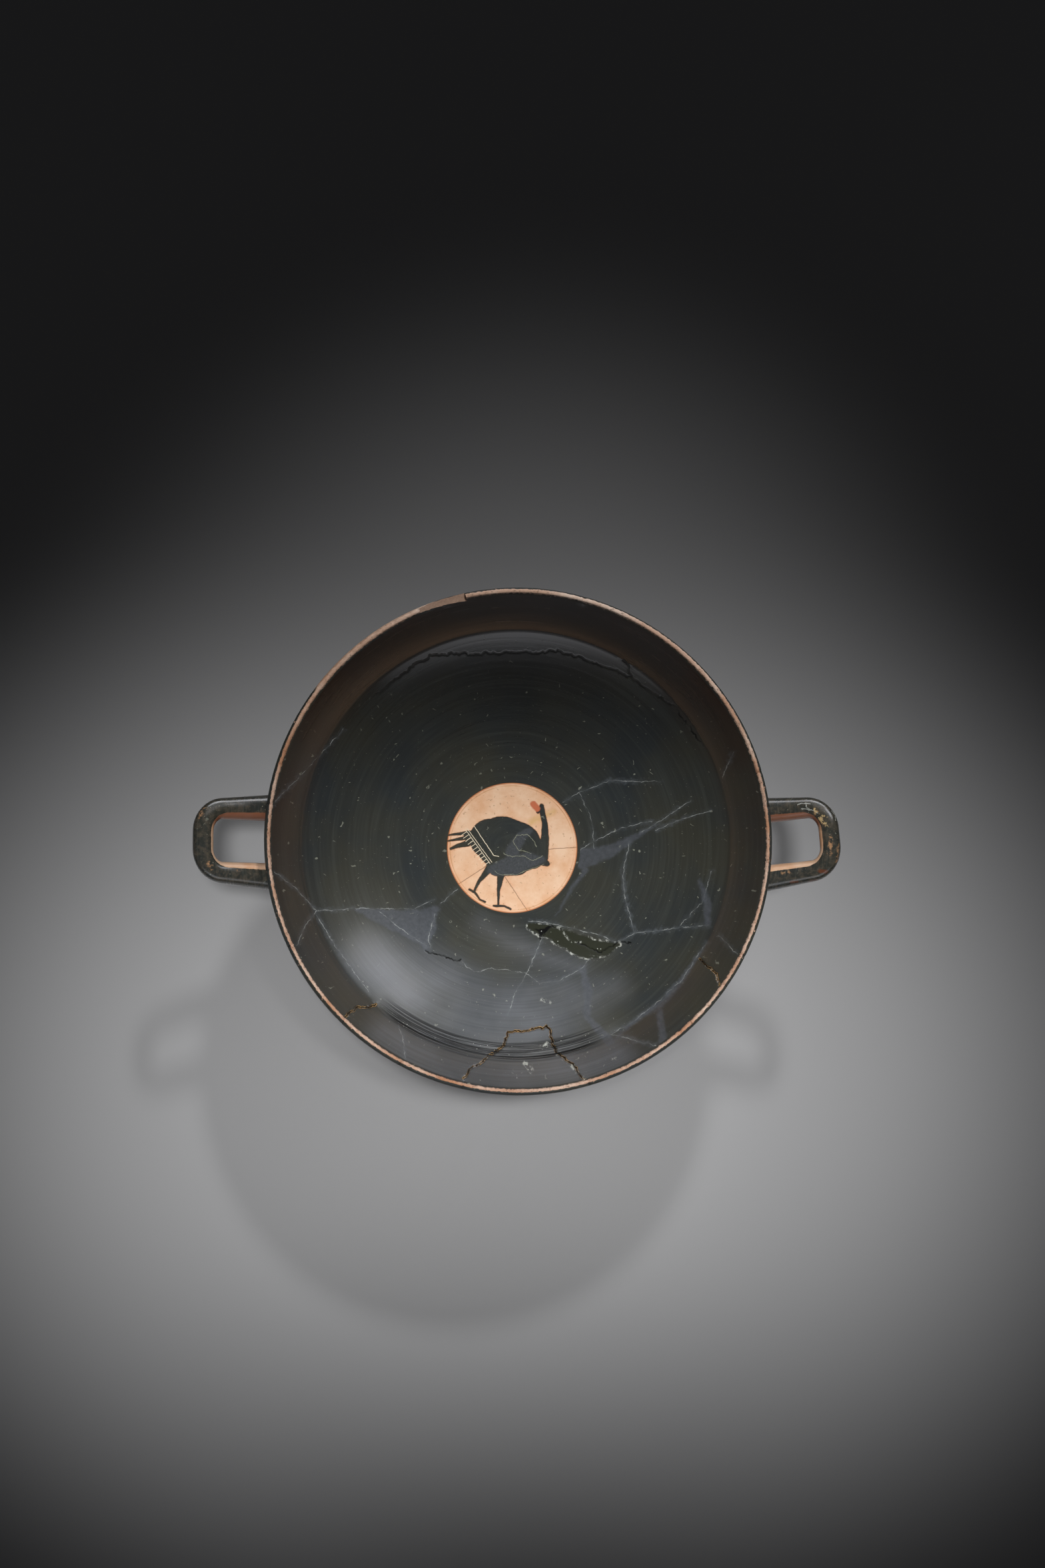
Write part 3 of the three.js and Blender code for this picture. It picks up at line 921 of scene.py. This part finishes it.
def tondo_painting():
    """The small round picture: a water bird in black slip on bare clay, with incised and red details."""
    material, tree, place, plan, radius = new_finish("painted_clay_tondo")
    slip, _, slip_height = slip_look(tree, place, plan, radius)
    hand = wandering(tree, plan, 0.35, 3)
    crumbly = wandering(tree, plan, 1.0, 3)

    colour = clay_look(tree, place)
    stain = ramp(tree, strokes(tree, crumbly, OCHRE_STAINS), 1.6, -1.2, 0, 0.5)
    colour = blend(tree, stain, colour, "#c9a55c")
    breaks = ramp(tree, strokes(tree, hand, TONDO_BREAKS, 0.1), 0.2, -0.05, 0, 0.75)
    colour = blend(tree, breaks, colour, "#8a5f43")
    scratches = product(tree, hairs(tree, plan, 4, 0.16, 0.35), 0.5)
    colour = blend(tree, scratches, colour, "#a97f60")

    ring = ramp(tree, away(tree, radius, TONDO_RADIUS - 1.3), 0.1, 0.4, 0.7, 0)
    faded = ramp(tree, mottle(tree, plan, 12, 3), 0.4, 0.6, 0.2, 1)
    ring = product(tree, ring, faded)
    colour = blend(tree, ring, colour, "#bf8450")
    fringe = ramp(tree, radius, TONDO_RADIUS - 0.8, TONDO_RADIUS - 0.1, 0, 0.8)
    colour = blend(tree, fringe, colour, "#b9662f")

    # Slip: black where it lies thick, red-brown at its thin edges.
    bird = strokes(tree, hand, BIRD)
    outside = arith(tree, "SUBTRACT", TONDO_RADIUS, radius)
    drawn = arith(tree, "MINIMUM", bird, outside)
    thin = ramp(tree, drawn, 0.28, -0.1)
    thick = ramp(tree, drawn, 0.06, -0.2)
    colour = blend(tree, thin, colour, "#8c5128")
    colour = blend(tree, thick, colour, slip)

    # A later repair crosses the breast, retouched in blue-grey.
    repair = ramp(tree, strokes(tree, crumbly, BIRD_REPAIR), 0.6, -0.6)
    repair = product(tree, repair, thick, 0.75)
    brushed = node(tree, "TexNoise", {"Vector": plan, "Scale": 1.1, "Detail": 3})
    tone = blend(tree, brushed, "#26282b", "#5f6266")
    colour = blend(tree, repair, colour, tone)
    scored = ramp(tree, strokes(tree, crumbly, BIRD_SCORES, 0.06), 0.14, -0.06)
    scored = product(tree, scored, thick)
    colour = blend(tree, scored, colour, "#8f917c")

    incised = strokes(tree, hand, incised_lines(), 0.14)
    incised = ramp(tree, incised, 0.1, -0.08, 0, 0.95)
    colour = blend(tree, incised, colour, "#ddd0b6")
    red = ramp(tree, strokes(tree, hand, RED_FACE), 0.35, -0.3)
    colour = blend(tree, red, colour, "#bd6a4b")

    roughness = arith(tree, "MULTIPLY_ADD", thick, -0.1, 0.56)
    height = arith(tree, "MULTIPLY_ADD", thick, 0.6, slip_height)
    height = arith(tree, "MULTIPLY_ADD", incised, -1.5, height)
    height = arith(tree, "MULTIPLY_ADD", breaks, -1.5, height)
    return apply_finish(material, colour, roughness, height, 0.03, gloss=0.15)


def lip_edge():
    """The top of the lip: a line of bare clay between two edges of slip, rubbed and nicked with use."""
    material, tree, place, plan, radius = new_finish("bare_clay_lip_line")
    slip = slip_look(tree, place, plan, radius)[0]
    grit = mottle(tree, place, 1.6, 4, 0.65)
    shake = arith(tree, "SUBTRACT", grit, 0.5)
    shaken = arith(tree, "MULTIPLY_ADD", shake, 1.6, radius)

    back = node(tree, "SeparateXYZ", (plan,), out=1)
    # Painted highlight: towards the back of the lip the clay is lightened, and the bare line is drawn wider
    # over the slip's outer edge.
    painted_highlight = ramp(tree, back, 30, 95, 0, 0.4)
    patchy = ramp(tree, mottle(tree, plan, 26, 4), 0.38, 0.6)
    pale_clay = blend(tree, most(tree, patchy, painted_highlight), "#c79574", "#f2d9c6")
    pale_share = arith(tree, "ADD", grit, painted_highlight)
    clay = blend(tree, pale_share, "#7d4f33", pale_clay)
    inner = ramp(tree, shaken, 112.1, 112.4)
    highlight_reach = ramp(tree, back, 10, 80, 113.6, 114.2)
    outer = arith(tree, "SUBTRACT", highlight_reach, shaken)
    line = product(tree, inner, ramp(tree, outer, -0.1, 0.15))

    # One stretch of the outer edge has lost its slip, and pale grains show all round.
    near = vector(tree, "DISTANCE", plan, RUBBED_EDGE, out=1)
    rubbed = ramp(tree, near, 52, 30)
    flaked = arith(tree, "MULTIPLY_ADD", grit, 0.38, rubbed)
    flaked = ramp(tree, flaked, 0.98, 1.06)
    crumbs = specks(tree, place, 2.6, 0.55, 0.4)
    bare = most(tree, product(tree, most(tree, flaked, crumbs), inner), line)

    colour = blend(tree, bare, slip, clay)
    soiled = ramp(tree, grit, 0.4, 0.3, 0, 0.7)
    colour = blend(tree, soiled, colour, "#2b1a12")
    roughness = arith(tree, "MULTIPLY_ADD", bare, 0.1, 0.34)
    height = arith(tree, "MULTIPLY_ADD", bare, -1, grit)
    return apply_finish(material, colour, roughness, height, 0.08)


def outside_slip():
    """The outside: black slip, a bare band between the handles, a thin line below it and a bare foot edge."""
    material, tree, place, plan, radius = new_finish("brushed_black_slip_outside")
    slip, roughness, height = slip_look(tree, place, plan, radius)
    shake = product(tree, mottle(tree, place, 5, 3), 0.8)
    level = node(tree, "SeparateXYZ", (place,), out=2)
    level = arith(tree, "ADD", level, shake)

    bands = []
    for low, high in SLIP_BANDS:
        above = ramp(tree, level, low, low + 0.4)
        below = ramp(tree, level, high, high + 0.4, 1, 0)
        bands.append(product(tree, above, below))
    scuffs = specks(tree, place, 3.5, 0.7, 0.3)
    edge = arith(tree, "MULTIPLY_ADD", scuffs, -0.8, most(tree, *bands), use_clamp=True)
    colour = blend(tree, edge, clay_look(tree, place), slip)
    roughness = arith(tree, "MULTIPLY_ADD", edge, -0.1, 0.56)
    return apply_finish(material, colour, roughness, height, 0.04, gloss=0.3)


def handle_slip():
    """Handles: slip outside, bare clay on their inner faces, worn through where hands and shelves touch."""
    material, tree, place, plan, radius = new_finish("worn_slip_handles")
    slip, roughness, height = slip_look(tree, place, plan, radius)
    grit = mottle(tree, place, 2.4, 5, 0.7)

    # Rubbing has thinned the slip to a dull bronze, with paler crumbs in it.
    bronze = ramp(tree, grit, 0.44, 0.62, 0, 0.6)
    colour = blend(tree, bronze, slip, "#5f564a")
    crumbs = product(tree, specks(tree, place, 1.3, 0.26, 0.4), 0.55)
    colour = blend(tree, crumbs, colour, "#b0a794")

    astray = wandering(tree, plan, 1.2, 2.2)
    bitten = ramp(tree, grit, 0.46, 0.56, 0, 0.85)
    worn = product(tree, ramp(tree, strokes(tree, astray, HANDLE_WEAR), 0.5, -0.5), bitten)
    colour = blend(tree, worn, colour, "#b58a64")
    cracks = ramp(tree, strokes(tree, astray, HANDLE_CRACKS, 0.1), 0.2, -0.08, 0, 0.9)
    colour = blend(tree, cracks, colour, "#b9bab2")
    flaky = ramp(tree, grit, 0.44, 0.52, 0, 0.95)
    earth = product(tree, ramp(tree, strokes(tree, astray, HANDLE_EARTH), 0.3, -0.2), flaky)
    colour = blend(tree, earth, colour, "#cfb382")
    rust = ramp(tree, strokes(tree, astray, HANDLE_RUST), 0.4, -0.4, 0, 0.85)
    colour = blend(tree, rust, colour, "#6d3f2a")

    inward = node(tree, "Attribute", out="Fac", attribute_name="inward")
    shaken = arith(tree, "MULTIPLY_ADD", grit, 0.14, inward)
    bare = ramp(tree, shaken, 0.06, 0.12)
    # The upper legs' inner faces are turned dark red-brown: partly a thin wash of slip, fired red, and partly
    # painted shade where they face away from the light.
    side = node(tree, "SeparateXYZ", (plan,), out=1)
    wash_and_shade = ramp(tree, side, 5, 9, 0, 0.85)
    clay = blend(tree, wash_and_shade, clay_look(tree, place), "#7a4029")
    colour = blend(tree, bare, colour, clay)
    roughness = arith(tree, "SUBTRACT", roughness, 0.11)
    roughness = arith(tree, "MULTIPLY_ADD", bare, 0.3, roughness)
    height = arith(tree, "MULTIPLY_ADD", worn, -2, grit)
    height = arith(tree, "MULTIPLY_ADD", cracks, -2, height)
    return apply_finish(material, colour, roughness, height, 0.05, gloss=1.0)


def bare_clay():
    """The underside of the foot, left without slip and dulled by standing."""
    material, tree, place, plan, radius = new_finish("bare_clay_underfoot")
    grime = mottle(tree, place, 7, 5, 0.7)
    soiled = ramp(tree, grime, 0.45, 0.7, 0, 0.6)
    colour = blend(tree, soiled, clay_look(tree, place), "#8d7059")
    roughness = ramp(tree, grime, 0.3, 0.7, 0.55, 0.75)
    turned = wheel_marks(tree, plan, radius, 1.6)
    return apply_finish(material, colour, roughness, turned, 0.08)


def broken_clay():
    """A fresh break through the wall: pale, sandy and matt."""
    material, tree, place, *_ = new_finish("broken_clay")
    grit = mottle(tree, place, 0.9, 5, 0.7)
    colour = blend(tree, grit, "#74594a", "#c6a690")
    roughness = ramp(tree, grit, 0.3, 0.7, 0.75, 0.9)
    return apply_finish(material, colour, roughness, grit, 0.15)


# ---- Floor, lights and camera -------------------------------------

def floor():
    bm = bmesh.new()
    bmesh.ops.create_grid(bm, x_segments=1, y_segments=1, size=15)
    plate = as_object("floor", bm)
    plate.data.transform(Matrix.Translation((0, 0, LOW[2])))
    material = bpy.data.materials.new("matt_grey_paper")
    material.use_nodes = True
    shader = material.node_tree.nodes["Principled BSDF"]
    shader.inputs["Base Color"].default_value = paint("#939394")
    shader.inputs["Roughness"].default_value = 0.9
    shader.inputs["Specular IOR Level"].default_value = 0
    plate.data.materials.append(material)


def aimed_lamp(name, light, azimuth, elevation, distance, aim):
    """Sets a light that faces aim from a distance, in a direction in degrees."""
    lamp = bpy.data.objects.new(name, light)
    turn, rise = math.radians(azimuth), math.radians(elevation)
    direction = Vector((math.cos(turn) * math.cos(rise), math.sin(turn) * math.cos(rise), math.sin(rise)))
    lamp.location = Vector(aim) + direction * distance
    lamp.rotation_euler = direction.to_track_quat("Z", "Y").to_euler()
    bpy.context.collection.objects.link(lamp)
    return lamp


def softbox(name, azimuth, elevation, distance, size, power):
    """A rectangular light that shows only in glossy surfaces."""
    light = bpy.data.lights.new(name, "AREA")
    light.shape = "RECTANGLE"
    light.size, light.size_y = size
    light.spread = math.radians(110)
    light.color = (0.94, 0.95, 1)
    light.energy = power
    aimed_lamp(name, light, azimuth, elevation, distance, (0, -0.1, 0)).visible_diffuse = False


def floor_spot(name, azimuth, elevation, size, power, aim):
    """A soft pool of light on the cup and the floor that fades at its edge and shows in no reflection."""
    light = bpy.data.lights.new(name, "SPOT")
    light.energy = power
    light.spot_size = math.radians(size)
    light.spot_blend = 1
    light.shadow_soft_size = 0.1
    aimed_lamp(name, light, azimuth, elevation, 2, aim).visible_glossy = False


def lights():
    softbox("broad_softbox", 74, 38, 1.7, (2.3, 1.2), 1.9)
    softbox("low_softbox", 84, 8, 1.5, (1.6, 0.4), 3.0)
    softbox("strip_softbox", 47, 23, 1.4, (0.55, 0.5), 1.1)
    softbox("low_card", -90, 19, 1.1, (2.2, 0.34), 1.0)
    floor_spot("key_spot", 78, 52, 13.5, 88, (0, -0.04, 0))
    floor_spot("left_spot", 180, 87, 12, 145, (-0.12, -0.11, 0))
    floor_spot("right_spot", 0, 87, 12, 145, (0.12, -0.11, 0))
    world = bpy.data.worlds.new("dim_room")
    world.use_nodes = True
    background = world.node_tree.nodes["Background"]
    background.inputs["Color"].default_value = (0.03, 0.03, 0.031, 1)
    background.inputs["Strength"].default_value = 1
    bpy.context.scene.world = world


def camera():
    """A long lens looking down into the bowl, a few degrees off the cup's axis."""
    distance = 1.867
    off_axis = math.radians(5.6)
    towards = math.radians(-132)
    rim = Vector((0, 0, HIGH[2]))
    eye = rim + distance * Vector((
        math.sin(off_axis) * math.cos(towards),
        math.sin(off_axis) * math.sin(towards),
        math.cos(off_axis),
    ))
    target = rim + Vector((0.0014, 0.0253, 0))
    data = bpy.data.cameras.new("camera")
    data.lens = 95
    data.sensor_fit = "VERTICAL"
    data.sensor_height = 36
    data.sensor_width = 24
    made = bpy.data.objects.new("camera", data)
    made.location = eye
    back = (eye - target).normalized()
    right = Vector((0, 1, 0)).cross(back).normalized()
    up = back.cross(right)
    made.rotation_euler = Matrix((right, up, back)).transposed().to_euler()
    bpy.context.collection.objects.link(made)
    bpy.context.scene.camera = made


# ---- Scene --------------------------------------------------------

bpy.context.scene.view_settings.view_transform = "Standard"

kylix = kylix_mesh([
    inside_slip(),
    tondo_painting(),
    lip_edge(),
    outside_slip(),
    bare_clay(),
    handle_slip(),
    broken_clay(),
])
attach(kylix, "root")
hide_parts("kylix")

floor()
lights()
camera()
